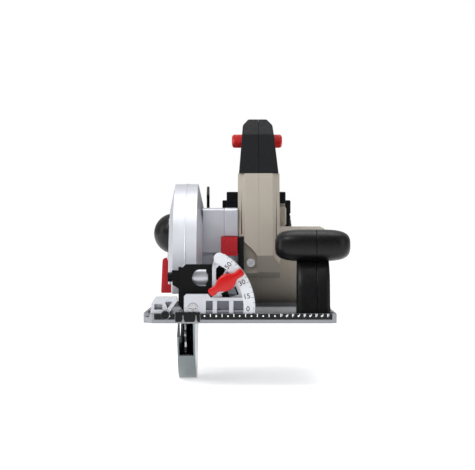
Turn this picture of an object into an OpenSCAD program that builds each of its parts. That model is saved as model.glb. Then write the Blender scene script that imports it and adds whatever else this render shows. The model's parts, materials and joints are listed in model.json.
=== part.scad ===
// Cordless circular saw: 165 mm blade on the left of the motor, bevel and depth adjustment,
// sprung lower guard and a slide-on battery.
// Frame: +X towards the motor, +Y to the rear, +Z up, origin at the centre of the sole.

/* [Base] */
// Width of the base plate
plate_w = 166; // [164:1:176]
// Length of the base plate
plate_l = 290; // [288:1:300]
// Thickness of the base plate's sheet
plate_t = 3; // [2.6:0.1:3]
// Height of the turned-up rim round the base plate
rim_h = 8.4; // [7.5:0.1:8.4]

/* [Blade] */
// Diameter of the saw blade
blade_d = 165; // [155:1:165]
// Number of teeth on the blade
blade_teeth = 24; // [12:6:40]
// Diameter of the blade's bore
blade_bore = 20; // [20]
// Height of the arbor above the sole at full depth
arbor_z = 29.6; // [29.6:0.1:31]
// Distance of the arbor in front of the plate's middle
arbor_y = -15; // [-15]

/* [Drive] */
// Gear module
gear_module = 1; // [1]
// Teeth on the motor's pinion
pinion_teeth = 15; // [15]
// Teeth on the output gear
gear_teeth = 45; // [45]
// Diameter of the motor housing
motor_d = 72; // [70:0.5:72]

/* [Adjustments] */
// Largest bevel angle
bevel_max = 50; // [30:5:50]
// Largest swing of the depth adjustment
depth_max = 24; // [15:1:24]

/* [Housing] */
// Width of the motor column and its clamshell
column_w = 37.9; // [36:0.1:37.9]
// Wall of the plastic shells
wall = 3; // [2.5:0.1:3]
// Width of the battery
battery_w = 66.2; // [64:0.1:68]
// Width of the front handle's knob
knob_w = 66; // [60:1:66]

/* [Hidden] */
$fn = 64;
gap = 0.3;            // clearance between pieces that move past each other
fit = 0.03;           // radial clearance of a shaft in its bore
plate_x = plate_w / 2;
plate_y = plate_l / 2;
blade_r = blade_d / 2;

// stations along X on the arbor, from the bolt's head to the motor
blade_x = -48.3;      // middle of the blade
blade_t = 1.6;
blade_x0 = blade_x - blade_t / 2;
blade_x1 = blade_x + blade_t / 2;
outer_flange_x = blade_x0 - 3;
inner_flange_x = blade_x1 + 2.7;
hub_x = -43;          // left end of the gear case's hub
case_x0 = -33.3;      // left face of the gear case
case_x1 = -14;        // joint of the gear case and its cover
case_x2 = -1.6;       // right face of the cover
gear_x0 = -29;
gear_x1 = -21;

// motor axis
mesh_r = gear_module * (gear_teeth + pinion_teeth) / 2;
mesh_a = asin(0.6);
motor_y = arbor_y + mesh_r * cos(mesh_a);
motor_z = arbor_z + mesh_r * sin(mesh_a);
// a tooth of the gear points at the motor, and a gap of the pinion points back at it
gear_phase = mesh_a / (360 / gear_teeth);
pinion_phase = (mesh_a + 180) / (360 / pinion_teeth) + 0.5;
motor_r = motor_d / 2;
barrel_x1 = 45;       // joint of the barrel and its end cap
cap_x1 = 81.5;

// guards
upper_r = 93;
upper_side_r = 72;
lower_r = 86;
guard_x0 = -63.4;
guard_x1 = case_x0;
lower_x0 = -55.5;
lower_x1 = -39.5;
lower_t = 1.6;

// bevel axis, along Y
bevel_x = -40.1;
bevel_z = 13.1;
lock_r = 36;          // radius of the bevel lock bolt about the bevel axis
lock_a = 37.6;
lock_x = bevel_x + lock_r * cos(lock_a);
lock_z = bevel_z + lock_r * sin(lock_a);

// depth axis, along X
depth_y = -117;
depth_z = 39;
depth_r = 185;        // radius of the depth lock bolt about the depth axis
depth_a = -1.7;
bolt_y = depth_y + depth_r * cos(depth_a);
bolt_z = depth_z + depth_r * sin(depth_a);

// front castings on the base plate
front_y0 = -plate_y + 2.7;
block_y1 = -130;
band_y0 = -141.2;
web_y0 = -137;
web_y1 = -133;
bracket_y0 = -128;
bracket_y1 = -125.5;
fence_y = [-140.4, -131.4];
fence_z = [5, 9.6];
fence_screw_x = -63.5;
fence_screw_z = 7.3;

// clamshell
seam_x = 17.4;
column_x0 = seam_x - column_w / 2;
column_x1 = seam_x + column_w / 2;
foot_x0 = -12;
foot_x1 = 44;
foot_z = 116.8;
battery_z = [58, 96, 109.3];
battery_y = [62, 158];
battery_x0 = 16.5 - battery_w / 2;
battery_x1 = 16.5 + battery_w / 2;
grip_tilt = 28.8;
grip_mid = [5, 163.5];
knob = [64, -100, 67];
knob_seam = 67;
rail_y1 = 124;
scoop_y = -60;        // floor of the scooped corner of the column

// side, in Y and Z, of the two halves' column, of the battery foot and of the grip
COLUMN = [[-70, 57], [-50, 131.5], [-10, 131.5], [-22, 88], [-8, 60], [-30, 40], [-50, 37], [-62, 42]];
COLUMN_IN = [[1, 0.5], [1, -1], [-1, -1], [-1, 0], [-1, 0], [0, 1], [0.3, 1], [1, 1]];
FOOT = [[30, 64], [60.6, 72], [60.6, 109.7], [150, 109.7], [150, foot_z], [48, foot_z], [48, 97], [20, 83]];
FOOT_IN = [[1, 1.6], [-1, 0.6], [-1, 1], [-1, 1], [-1, -1], [1, -1], [1, -0.6], [0.3, -1]];
GRIP = [[-50, 131.5], [-10, 131.5], [-8, 140], [2, 146], [55.2, foot_z], [124, foot_z], [8, 181],
        [-12, 183], [-32, 168]];
GRIP_IN = [[1, 1], [-1, 1], [-1, 1.5], [-0.6, 1], [0.6, 1], [-4.4, 1], [-0.3, -1], [0.3, -1], [0.9, -0.6]];
SHELL_SCREWS = [[-52, 72], [-34, 116], [48, 84]];
GRIP_SCREWS = [[-26, 158], [58, 134]];
BASE_SCREWS = [[58, -115], [70, -115], [-32, -136], [6, -136], [-44, 121], [-32, 121]];

// ---- placing and shaping ----

// a block between two opposite corners
module block(lo, hi) translate(lo) cube(hi - lo);

// an outline in Y and Z, from x0 to x1
module side(x0, x1) translate([x0, 0, 0]) rotate([90, 0, 90]) linear_extrude(x1 - x0) children();

// an outline in X and Z, from y0 to y1
module front(y0, y1) translate([0, y1, 0]) rotate([90, 0, 0]) linear_extrude(y1 - y0) children();

module rod_x(x0, x1, r, y, z) translate([x0, y, z]) rotate([0, 90, 0]) cylinder(h = x1 - x0, r = r);
module rod_y(y0, y1, r, x, z) translate([x, y1, z]) rotate([90, 0, 0]) cylinder(h = y1 - y0, r = r);
module rod_z(z0, z1, r, x, y) translate([x, y, z0]) cylinder(h = z1 - z0, r = r);

// a pipe along X
module ring_x(x0, x1, r0, r1, y, z) {
    difference() {
        rod_x(x0, x1, r1, y, z);
        rod_x(x0 - 1, x1 + 1, r0, y, z);
    }
}

// a body turned about an axis along X, from an outline in radius and X
module turned(y, z) translate([0, y, z]) rotate([90, 0, 90]) rotate_extrude() children();

// the flat part of a ring between two angles
module sector(r0, r1, a0, a1) {
    reach = 1.5 * r1;
    intersection() {
        difference() {
            circle(r1);
            circle(r0);
        }
        polygon([[0, 0], for (i = [0 : 6]) let (a = a0 + (a1 - a0) * i / 6) reach * [cos(a), sin(a)]]);
    }
}

function moved(points, ways, by) = [for (i = [0 : len(points) - 1]) points[i] + by * ways[i]];

// a recess for a cross-point driver, pointing down from the origin
module cross_recess(size, depth) {
    for (turn = [0, 90])
        rotate([0, 0, turn]) translate([-size / 2, -size / 9, -depth]) cube([size, size / 4.5, depth + 1]);
}

// a ball bearing along X, drawn as its two rings and the shield between them
module bearing(x0, x1, bore_r, outer_r, y, z) {
    step = (outer_r - bore_r) / 4;
    difference() {
        ring_x(x0, x1, bore_r + fit / 2, outer_r, y, z);
        for (x = [x0 - 1, x1 - 0.5]) ring_x(x, x + 1.5, bore_r + step, outer_r - step, y, z);
    }
}

// a spur gear with stubby teeth and backlash; phase turns it by a share of a tooth
module spur(teeth, x0, x1, bore_r, y, z, phase) {
    r = gear_module * teeth / 2;
    tip = r + 0.75 * gear_module;
    root = r - 1.1 * gear_module;
    pitch = 360 / teeth;
    translate([x0, y, z]) rotate([90, 0, 90]) linear_extrude(x1 - x0) difference() {
        polygon([for (i = [0 : teeth - 1], k = [[root, -0.33], [r, -0.2], [tip, -0.1], [tip, 0.1],
                [r, 0.2], [root, 0.33]])
            let (a = (i + k[1] + phase) * pitch) k[0] * [cos(a), sin(a)]]);
        circle(bore_r);
    }
}

// ---- base ----

module plate_outline(inset) {
    x = plate_x - inset;
    y = plate_y - inset;
    polygon([[-x, 16 - y], [8 - x, -y], [x - 4, -y], [x, 4 - y], [x, y - 6], [x - 6, y], [6 - x, y],
            [-x, y - 6]]);
}

module base_screw_holes(top) {
    for (s = BASE_SCREWS) {
        translate([s[0], s[1], -0.01]) cylinder(h = 2.3, r1 = 4.4, r2 = 2.1);
        rod_z(0, top, 2.05, s[0], s[1]);
    }
}

module base_plate() {
    color("silver") difference() {
        union() {
            linear_extrude(plate_t) plate_outline(0);
            linear_extrude(rim_h) difference() {
                plate_outline(0);
                plate_outline(2.5);
            }
        }
        blade_slot();
        base_screw_holes(plate_t + 1);
        rod_y(-plate_y - 1, front_y0, 2.45, fence_screw_x, fence_screw_z);
        block([-plate_x - 1, fence_y[0], fence_z[0]], [-60, fence_y[1], rim_h + 1]);
    }
}

// the guard and blade pass here at every bevel, and the lever in the notch on the left
module blade_slot() {
    block([-57.8, -104, -1], [-21.5, 76, plate_t + 1]);
    block([-plate_x - 1, 12, -1], [-57, 37, rim_h + 1]);
}

module front_scale_strip() {
    color("#202224") difference() {
        block([-73, -plate_y - 0.8, 3.3], [79, -plate_y, 8.2]);
        block([-55.5, -plate_y - 2, 0], [-33.5, 0, 9]);
        rod_y(-plate_y - 2, 0, 4, fence_screw_x, fence_screw_z);
    }
}

module sight_guide() {
    color("#1c1c1e") difference() {
        union() {
            block([-55, -plate_y - 1.6, 1.3], [-34, -plate_y, 9.6]);
            block([-55, -plate_y - 1, rim_h], [-34, -plate_y + 2.4, 9.6]);
        }
        for (x = [blade_x, -37.3]) front(-plate_y - 3, -plate_y + 0.01)
            polygon([[x - 2, 0], [x + 2, 0], [x + 0.5, 3.6], [x + 0.5, 7], [x - 0.5, 7], [x - 0.5, 3.6]]);
    }
}

module quadrant_web() {
    intersection() {
        translate([bevel_x, bevel_z]) circle(53.5);
        polygon([[-23.6, plate_t], [20, plate_t], [20, 70], [-9, 70], [-13.5, 59], [-17, 58.2], [-20.3, 56],
                 [-22.6, 52.5], [-23.6, 48]]);
    }
}

// the lighter hole beside the lever, with round corners
module quadrant_hole(grow) {
    polygon([[-20.4 - grow, 37.5], [-20.4 - grow, 46.5 + grow / 2], [-17.5, 49.5 + grow],
             [-11.5 + grow, 46 + grow], [-18.5 + grow / 2, 36 - grow]]);
}

module bevel_quadrant() {
    color("#c9ccd0") difference() {
        union() {
            front(front_y0, block_y1) {
                polygon([[-47.7, plate_t], [-47.7, 23], [-46, 24.9], [-27, 24.9], [-25, 22], [3, 22],
                        [3, plate_t]]);
            }
            front(web_y0, web_y1) quadrant_web();
            front(band_y0, web_y1) intersection() {
                quadrant_web();
                translate([bevel_x, bevel_z]) sector(43, 53.5, -15, 80);
            }
            front(web_y0, block_y1) intersection() {
                quadrant_web();
                polygon([[0, plate_t], [16, plate_t], [16, 22], [0, 22]]);
            }
            front(band_y0, web_y1) difference() {
                intersection() {
                    quadrant_web();
                    quadrant_hole(3);
                }
                quadrant_hole(0);
                translate([lock_x, lock_z]) circle(5.5 + gap);
            }
            rod_y(web_y0, bracket_y0 - 0.1, 6, lock_x, lock_z);
            rod_y(block_y1 - 1, bracket_y0 - 0.1, 8, bevel_x, bevel_z);
        }
        front(web_y0 - 5, web_y1 + 1) {
            quadrant_hole(0);
            translate([bevel_x, bevel_z]) sector(27, 41, 16, 27);
        }
        quadrant_pockets();
        block([-90, fence_y[0], fence_z[0]], [90, fence_y[1], fence_z[1]]);
        rod_y(-150, -120, 3.05, bevel_x, bevel_z);
        rod_y(-150, -140.5, 4.6, bevel_x, bevel_z);
        rod_y(-150, -120, 3.1, lock_x, lock_z);
        base_screw_holes(fence_z[0] + 8);
    }
}

// recesses between the ribs on the casting's face, deeper above the fence's tunnel
module quadrant_pockets() {
    for (x = [[-29, -23], [-19.5, -9], [-5.5, 5]]) {
        block([x[0], -150, 4.5], [x[1], fence_y[0] - 0.7, 19.3]);
        block([x[0], -150, fence_z[1] + 1.2], [x[1], -136.5, 19.3]);
    }
}

module bevel_pivot_screw() {
    color("#8f9296") difference() {
        union() {
            rod_y(-142.2, -140.6, 4.5, bevel_x, bevel_z);
            rod_y(-141, -121.5, 3, bevel_x, bevel_z);
            translate([bevel_x, -121.5, bevel_z]) rotate([90, 0, 0]) cylinder(h = 3.9, r = 5.4, $fn = 6);
        }
        translate([bevel_x, -142.2, bevel_z]) rotate([90, 0, 0]) cross_recess(5.4, 1.2);
    }
}

module bevel_lock_bolt() {
    color("#8f9296") {
        rod_y(-145.9, -122, 3, lock_x, lock_z);
        rod_y(bracket_y1 + 0.1, -122, 6.5, lock_x, lock_z);
    }
}

module rear_base_bracket() {
    color("#9a9da1") difference() {
        union() {
            front(108, 111) polygon([[-52, plate_t], [-52, 16], [-46, 24], [-34, 24], [-28, 16],
                    [-28, plate_t]]);
            block([-52, 108, plate_t], [-24, 130, plate_t + 3]);
        }
        rod_y(100, 120, 3.05, bevel_x, bevel_z);
        base_screw_holes(9);
    }
}

module base_screws() {
    color("#8f9296") for (s = BASE_SCREWS) difference() {
        union() {
            translate([s[0], s[1], 0.3]) cylinder(h = 1.9, r1 = 3.9, r2 = 2);
            rod_z(0.4, s[1] > 0 ? 7.5 : 12.5, 2, s[0], s[1]);
        }
        translate([s[0], s[1], 0.3]) rotate([180, 0, 0]) cross_recess(4.6, 1);
    }
}

module fence_clamp_block() {
    color("#c9ccd0") difference() {
        union() {
            front(front_y0, -129) {
                polygon([[-77, plate_t], [-75.5, 17], [-72, 22.6], [-63.5, 22.6], [-63.5, 17],
                        [-58, plate_t]]);
                polygon([[-72, 18.5], [-72, 22.6], [-54, 22.6], [-53.2, 19.4], [-60.5, 9], [-64, 9.5],
                        [-57.5, 18.6]]);
            }
            front(-131, -129) polygon([[-66, plate_t], [-66, 20], [-56, 20], [-58, plate_t]]);
        }
        block([-73, -150, 11.7], [-66, -131, 16.6]);
        block([-90, fence_y[0], fence_z[0]], [-50, fence_y[1], fence_z[1]]);
        rod_y(-150, fence_y[0] + 1, 2.45, fence_screw_x, fence_screw_z);
        linear_extrude(rim_h + gap) difference() {
            plate_outline(-5);
            plate_outline(2.5 + gap);
        }
    }
}

module fence_clamp_screw() {
    color("#1c1c1e") {
        rod_y(-147, fence_y[0] - 0.1, 2.4, fence_screw_x, fence_screw_z);
        difference() {
            rod_y(-149.4, -146.3, 3.6, fence_screw_x, fence_screw_z);
            for (a = [0 : 30 : 330]) translate([fence_screw_x + 3.9 * cos(a), 0,
                    fence_screw_z + 3.9 * sin(a)])
                rod_y(-150, -146, 0.6, 0, 0);
        }
    }
}

// ---- front handle ----

module aux_shape(inset) {
    end_r = 13.4 - inset;
    deep_r = 21 - inset;
    reach = knob_w / 2 - inset;
    intersection() {
        front(knob[1] - 30, knob[1] + 30) for (s = [-1, 1]) {
            translate([knob[0] + s * (reach - end_r), knob[2]]) circle(end_r);
            translate([knob[0] - reach + end_r, knob[2] - end_r]) square([2 * (reach - end_r), 2 * end_r]);
        }
        translate([knob[0], knob[1], 0]) linear_extrude(120) for (s = [-1, 1]) {
            translate([s * (reach - deep_r), 0]) circle(deep_r);
            translate([deep_r - reach, -deep_r]) square([2 * (reach - deep_r), 2 * deep_r]);
        }
    }
    intersection() {
        front(-129 + inset, -101 - inset)
            polygon([[48.4 + inset, plate_t + inset], [49.6 + inset, 14], [49.6 + inset, 60],
                    [78.4 - inset, 60],
                     [78.4 - inset, 14], [79.6 - inset, plate_t + inset]]);
        side(40, 90) polygon([[-129 + inset, 0], [-127 + inset, 16], [-120 + inset, 62], [-84, 62],
                [-101 - inset, 40],
                              [-101 - inset, 0]]);
    }
}

module aux_shell(x0, x1) {
    intersection() {
        difference() {
            aux_shape(0);
            aux_shape(wall);
        }
        block([x0, -140, 0], [x1, -60, 100]);
    }
}

// the two screw posts in the foot of the front handle
module aux_posts(x0, x1) {
    difference() {
        intersection() {
            for (i = [0, 1]) rod_z(plate_t, 20, 4.4, BASE_SCREWS[i][0], BASE_SCREWS[i][1]);
            block([x0, -140, 0], [x1, -60, 100]);
        }
        base_screw_holes(14);
    }
}

module aux_half(x0, x1) {
    difference() {
        aux_shell(x0, x1);
        base_screw_holes(14);
    }
    aux_posts(x0, x1);
}

module aux_handle_left() color("#1b1b1d") aux_half(20, knob_seam);
module aux_handle_right() color("#1b1b1d") aux_half(knob_seam + 0.02, 110);

// ---- bevel lock and bevel frame ----

module bevel_lock_lever() {
    color("#d8283a") difference() {
        union() {
            rod_y(-148, band_y0 - gap, 6.6, lock_x, lock_z);
            rod_y(-145, web_y0 - gap, 5.5, lock_x, lock_z);
            translate([lock_x, 0, lock_z]) rotate([0, -34, 0]) front(-148.5, -143.2) {
                polygon([[-15, -3.4], [-15, 3.4], [-6, 6], [6, 6], [16, 3.2], [16, -3.2], [6, -6],
                        [-6, -6]]);
            }
        }
        rod_y(-146.2, -130, 3.05, lock_x, lock_z);
    }
}

module front_bracket() {
    color("#18181a") difference() {
        union() {
            front(bracket_y0, bracket_y1) {
                polygon([[-53, 15.5], [-52.4, 44.9], [-46.5, 50.3], [-24, 50.3], [-24, 14],
                        [-40, 4.4], [-46.5, 7.6]]);
                translate([bevel_x, bevel_z]) circle(8.6);
                intersection() {
                    translate([bevel_x, bevel_z]) sector(5, 44.5, -30, 47);
                    polygon([[-40, 3.6], [20, 3.6], [20, 60], [-40, 60]]);
                }
            }
            for (x = [-53, -27]) side(x, x + 2.8)
                polygon([[bracket_y1 - 0.1, 29], [bracket_y1 - 0.1, 48], [-114, 46], [-112, 42],
                        [-112, 31], [-116, 29]]);
            front(-123.5, -112) polygon([[-58.8, 44.9], [-52, 44.9], [-52, 28.5], [-58.3, 32.5]]);
        }
        front(-140, -100) translate([bevel_x, bevel_z])
            sector(lock_r - 3.4, lock_r + 3.4, lock_a - bevel_max - 6, lock_a + 5.6);
        front(-140, bracket_y1 + 0.01) {
            translate([-34, 38.6]) circle(7.1);
            translate([-34, 31.5]) square([5, 14.2]);
        }
        rod_y(-140, -110, 3.05, bevel_x, bevel_z);
        rod_x(-70, -10, 3.02, depth_y, depth_z);
    }
}

module depth_pivot_pin() {
    color("#2a2a2d") {
        rod_x(-62.6, -58.8, 4.2, depth_y, depth_z);
        rod_x(-59, -20, 3, depth_y, depth_z);
        translate([-24.1, depth_y, depth_z]) rotate([0, 90, 0]) cylinder(h = 4.1, r = 5.4, $fn = 6);
    }
}

module rear_depth_plate() {
    color("#18181a") difference() {
        union() {
            side(-31.5, -29) {
                translate([depth_y, depth_z]) sector(176, 196, -6, depth_a + depth_max + 2.9);
                polygon([[58.6, 23], [58.6, 17], [78, 12], [96, 5.4], [107.2, 4.7], [107.2, 26],
                        [96, 32], [78, 34]]);
            }
            front(104.4, 107.2) {
                translate([bevel_x, bevel_z]) circle(8.6);
                translate([bevel_x, bevel_z - 8.4]) square([-29 - bevel_x, 17]);
            }
        }
        side(-40, -20) translate([depth_y, depth_z]) {
            sector(depth_r - 3.4, depth_r + 3.4, depth_a - 0.4, depth_a + depth_max + 0.4);
            for (a = [depth_a - 0.4, depth_a + depth_max + 0.4])
                translate(depth_r * [cos(a), sin(a)]) circle(3.4);
        }
        rod_y(100, 112, 3.05, bevel_x, bevel_z);
    }
}

module rear_pivot_rivet() {
    color("#8f9296") {
        rod_y(102.2, 104.4, 5, bevel_x, bevel_z);
        rod_y(104, 112.4, 3, bevel_x, bevel_z);
        rod_y(111.3, 113.4, 5, bevel_x, bevel_z);
    }
}

// ---- guards ----

module guard_volume(grow) {
    turned(arbor_y, arbor_z) polygon([[0, guard_x1 + grow], [upper_side_r, guard_x1 + grow],
            [upper_r + grow, -38],
        [upper_r + grow, -58.9], [upper_side_r, guard_x0 - grow], [0, guard_x0 - grow]]);
}

module upper_guard() {
    color("#cfd2d6") difference() {
        union() {
            upper_shell();
            side(guard_x1 - 3, guard_x1) translate([arbor_y, arbor_z]) circle(26.2);
            side(-49.8, guard_x1) difference() {
                polygon([[-120, 46], [-104, 50], [-100, 50], [-100, 30], [-118, 31]]);
                translate([arbor_y, arbor_z]) circle(89.8);
            }
            rod_x(-49.8, -27.4, 8, depth_y, depth_z);
            rod_x(guard_x1 - 1, -31.8, 7, bolt_y, bolt_z);
        }
        rod_x(-80, -20, 3.06, depth_y, depth_z);
        rod_x(-40, -30, 22.02, arbor_y, arbor_z);
        rod_x(-40, -30, 3.04, bolt_y, bolt_z);
        rod_x(-40, guard_x1 - 1.4, 6.3, bolt_y, bolt_z);
        rod_x(-70, -57, 11, 52, 75);
    }
}

// the drawn shell, cut off above the base plate; its left wall is open round the arbor
module upper_shell() {
    difference() {
        guard_volume(0);
        turned(arbor_y, arbor_z) polygon([[0, guard_x1 - 3], [upper_side_r - 1, guard_x1 - 3],
                [upper_r - 3, -40],
            [upper_r - 3, -57], [upper_side_r - 1, guard_x0 + 2.5], [0, guard_x0 + 2.5]]);
        block([-80, -120, -80], [-20, 100, 24]);
        rod_x(-80, -60, 50, arbor_y, arbor_z);
        side(-80, guard_x0 + 3.5) polygon([[-130, 20], [-130, 62], [-104, 62], [-92, 32], [90, 32],
                [90, 20]]);
    }
}

module guard_wall(x0, x1, r0, r1, a0, a1) {
    side(x0, x1) translate([arbor_y, arbor_z]) sector(r0, r1, a0, a1);
}

module lower_guard() {
    color("#a9adb1") {
        guard_wall(lower_x0, lower_x1, lower_r - lower_t, lower_r, -134, 25);
        guard_wall(lower_x0, lower_x0 + lower_t, 54, lower_r, -149, 25);
        guard_wall(lower_x0, lower_x0 + lower_t, 31, 60, -18, 9);
        guard_wall(lower_x1 - lower_t, lower_x1, 24, lower_r, -166, 25);
        ring_x(-42.7, -37, 22.06, 26.5, arbor_y, arbor_z);
    }
}

module retract_lever() {
    color("#b8303c") front(18, 30)
        polygon([[-74.3, 20.7], [-72.9, 52], [-71, 54], [-66.8, 54], [-66.3, 29.5], [-64.5, 28.2],
                [lower_x0, 28.2], [lower_x0, 20.7]]);
}

module guard_retaining_ring() {
    color("#8f9296") ring_x(hub_x - 1.4, hub_x, 16.6, 24.2, arbor_y, arbor_z);
}

// two turns of spring wire beside the lower guard's hub, with one leg hooked down
module guard_return_spring() {
    color("#77797c") {
        for (x = [-38.6, -37.3]) turned(arbor_y, arbor_z) translate([28.6, x]) circle(0.6);
        rod_x(-39.2, -36.8, 0.6, arbor_y - 28.6, arbor_z);
        block([-39.2, arbor_y + 27.6, arbor_z - 0.6], [-38, arbor_y + 34, arbor_z + 0.6]);
    }
}

module dust_port() {
    color("#18181a") difference() {
        union() {
            translate([-63, 55, 77]) sphere(19.5);
            rod_y(55, 96, 19.5, -63, 77);
            rod_y(90, 96, 20, -63, 77);
        }
        rod_y(54, 76.01, 15, -63, 77);
        translate([-63, 54, 77]) sphere(15);
        rod_y(76, 97, 16, -63, 77);
        guard_volume(0.05);
    }
}

// ---- gear case ----

function case_points(i) = [[-52 + i, 22 + i], [-52 + i, 57 + 1.6 * i], [-64 + i, 60 + i], [-58 + i, 98 - i],
    [-55 + i, 100 - i], [26 - i, 100 - i], [36 - i, 90 - i], [36 - i, 40], [10, 24 + 2 * i], [-15, 12]];

module case_outline() {
    polygon(case_points(0));
    translate([arbor_y, arbor_z]) circle(26.2);
}

// the button's way in, and the hollow that its link slides in
module lock_space() {
    block([-16.6, -70, 56.7], [case_x2 + 1, -56, 74.3]);
    block([-19.6, -62, 27], [-15.2, -20, 63]);
}

module gear_case() {
    color("#cfd2d6") difference() {
        union() {
            side(case_x0, case_x1) case_outline();
            rod_x(hub_x, case_x0 + 1, 22, arbor_y, arbor_z);
        }
        side(case_x0 + 3, case_x1 + 1) {
            difference() {
                polygon(case_points(3));
                polygon([[-60, 0], [-60, 56], [40, 56], [40, 0]]);
            }
            translate([arbor_y, arbor_z]) circle(24);
            translate([motor_y, motor_z]) circle(9.6);
        }
        lock_space();
        rod_x(hub_x - 1, -33, 16.02, arbor_y, arbor_z);
        rod_x(-34, -29, 8, arbor_y, arbor_z);
        side(case_x0 - 1, case_x0 + 0.6) polygon([[-70, 93], [-70, 94.5], [-50, 94.5], [-50, 93]]);
    }
}

module gear_case_cover() {
    color("#cfd2d6") difference() {
        union() {
            side(case_x1, case_x2) polygon(case_points(0));
            rod_x(case_x1, case_x2, 26.2, arbor_y, arbor_z);
        }
        side(case_x1 - 1, case_x2 - 3) difference() {
            polygon(case_points(3));
            polygon([[-60, 0], [-60, 62], [40, 62], [40, 0]]);
        }
        lock_space();
        rod_x(case_x1 - 1, -7, 11.02, arbor_y, arbor_z);
        rod_x(-8.6, 0, 11.02, motor_y, motor_z);
        rod_x(-20, 0, 8, motor_y, motor_z);
    }
}

module spindle_bearing_outer() color("#b5b8bb") bearing(-43, -33, 6, 16, arbor_y, arbor_z);
module spindle_bearing_inner() color("#b5b8bb") bearing(-14, -7, 4, 11, arbor_y, arbor_z);
module motor_bearing_front() color("#b5b8bb") bearing(-8.6, -1.6, 4, 11, motor_y, motor_z);
module motor_bearing_rear() color("#b5b8bb") bearing(55, 62, 4, 11, motor_y, motor_z);

module depth_lock_bolt() {
    color("#8f9296") {
        rod_x(-37.2, guard_x1 - 1.4, 6.2, bolt_y, bolt_z);
        rod_x(-35, -20, 3, bolt_y, bolt_z);
    }
}

// ---- shells ----

module screw_post(x0, x1, y, z) rod_x(x0, x1, 4.2, y, z);

// the front corners of the column, cut off along its lean
module column_corners() {
    lean = atan2(COLUMN[1][0] - COLUMN[0][0], COLUMN[1][1] - COLUMN[0][1]);
    for (s = [-1, 1]) translate([seam_x + s * column_w / 2, COLUMN[0][0], COLUMN[0][1]]) rotate([-lean,
            0, 0])
        translate([0, 0, -40]) linear_extrude(120) polygon([[s, -1], [-s * 7.5, -1], [-s * 6.5, 0],
                [0, 6.5], [s, 6.5]]);
}

module shell_outline(i) {
    polygon(moved(COLUMN, COLUMN_IN, i));
    polygon(moved(FOOT, FOOT_IN, i));
}

module housing_left() {
    color("#b0a89c") difference() {
        union() {
            difference() {
                union() {
                    side(column_x0, seam_x) shell_outline(0);
                    rod_x(column_x0, seam_x, motor_r, motor_y, motor_z);
                    side(foot_x0, seam_x) foot_outline(0);
                }
                side(column_x0 + wall, seam_x + 1) shell_outline(wall);
                rod_x(column_x0 + wall, seam_x + 1, motor_r - wall, motor_y, motor_z);
                side(foot_x0 + wall, seam_x + 1) foot_outline(wall);
            }
            for (s = SHELL_SCREWS) screw_post(column_x0 + 1, seam_x, s[0], s[1]);
            intersection() {
                side(column_x0, seam_x) shell_outline(0);
                corner_scoop(-57.5, 2);
            }
        }
        rod_x(-5, column_x0 + wall + 1, 30, motor_y, motor_z);
        for (s = SHELL_SCREWS) rod_x(3, 30, 1.6, s[0], s[1]);
        column_corners();
        corner_scoop(scoop_y, 0);
    }
}

module housing_right() {
    color("#b0a89c") difference() {
        union() {
            difference() {
                union() {
                    side(seam_x + 0.02, column_x1) shell_outline(0);
                    side(seam_x + 0.02, foot_x1) foot_outline(0);
                    rod_x(seam_x + 0.02, barrel_x1, motor_r, motor_y, motor_z);
                }
                side(seam_x - 1, column_x1 - wall) shell_outline(wall);
                side(seam_x - 1, foot_x1 - wall) foot_outline(wall);
                rod_x(17, barrel_x1 + 1, motor_r - wall, motor_y, motor_z);
            }
            for (s = SHELL_SCREWS) screw_post(seam_x + 0.02, column_x1 - 1, s[0], s[1]);
        }
        for (s = SHELL_SCREWS) {
            rod_x(10, 40, 1.7, s[0], s[1]);
            rod_x(column_x1 - 4, column_x1 + 10, 3.3, s[0], s[1]);
        }
        column_corners();
    }
}

// the battery foot is wider than the column behind the hand opening
module foot_outline(i) {
    intersection() {
        polygon(moved(FOOT, FOOT_IN, i));
        polygon([[51 + i, 60], [51 + i, 140], [160, 140], [160, 60]]);
    }
}

// the scooped lower left corner of the column, back to y1, that the foot's screw is in
module corner_scoop(y1, grow) {
    front(-90, y1) polygon([[-4, 36 - grow], [-4, 74.3 + grow], [3.9 + grow, 74.3 + grow],
            [3.9 + grow, 69.4 + grow],
        [10.5 + grow, 63.5 + grow], [14.8 + grow, 58.5], [16.3 + grow, 52], [16.3 + grow, 42],
                [14 + grow, 36 - grow]]);
}

module grip_profile(i) polygon(moved(GRIP, GRIP_IN, i));

// the grip narrows upwards, seen from the front
module grip_section(i) {
    half = 18 - i;
    front(-80, 140) translate([seam_x, 0])
        polygon([[-half, 90], [-half, 131.5], [i - 14.4, 177], [i - 9.2, 183 - i], [7.6 - i, 183 - i],
                [13 - i, 177],
                 [half, 131.5], [half, 90]]);
}

module grip_solid(x0, x1, i) {
    intersection() {
        side(x0, x1) grip_profile(i);
        grip_section(i);
    }
}

module in_grip() translate([0, grip_mid[0], grip_mid[1]]) rotate([-grip_tilt, 0, 0]) children();

module grip_half(x0, x1) {
    difference() {
        union() {
            difference() {
                grip_solid(x0, x1, 0);
                grip_solid(x0 - 5, x1 + 5, 2.6);
            }
            intersection() {
                for (s = GRIP_SCREWS) screw_post(x0, x1, s[0], s[1]);
                grip_solid(x0, x1, 0);
            }
        }
        in_grip() block([10, 7.6, -20], [24.8, 32.4, -12]);
        in_grip() block([-20, -5.3, -5.8], [60, 5.3, 5.8]);
        for (s = GRIP_SCREWS) {
            rod_x(4, 40, 1.65, s[0], s[1]);
            rod_x(26, 50, 3.3, s[0], s[1]);
        }
    }
}

module grip_left() color("#242427") grip_half(-5, seam_x);
module grip_right() color("#242427") grip_half(seam_x + 0.02, 40);

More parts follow.
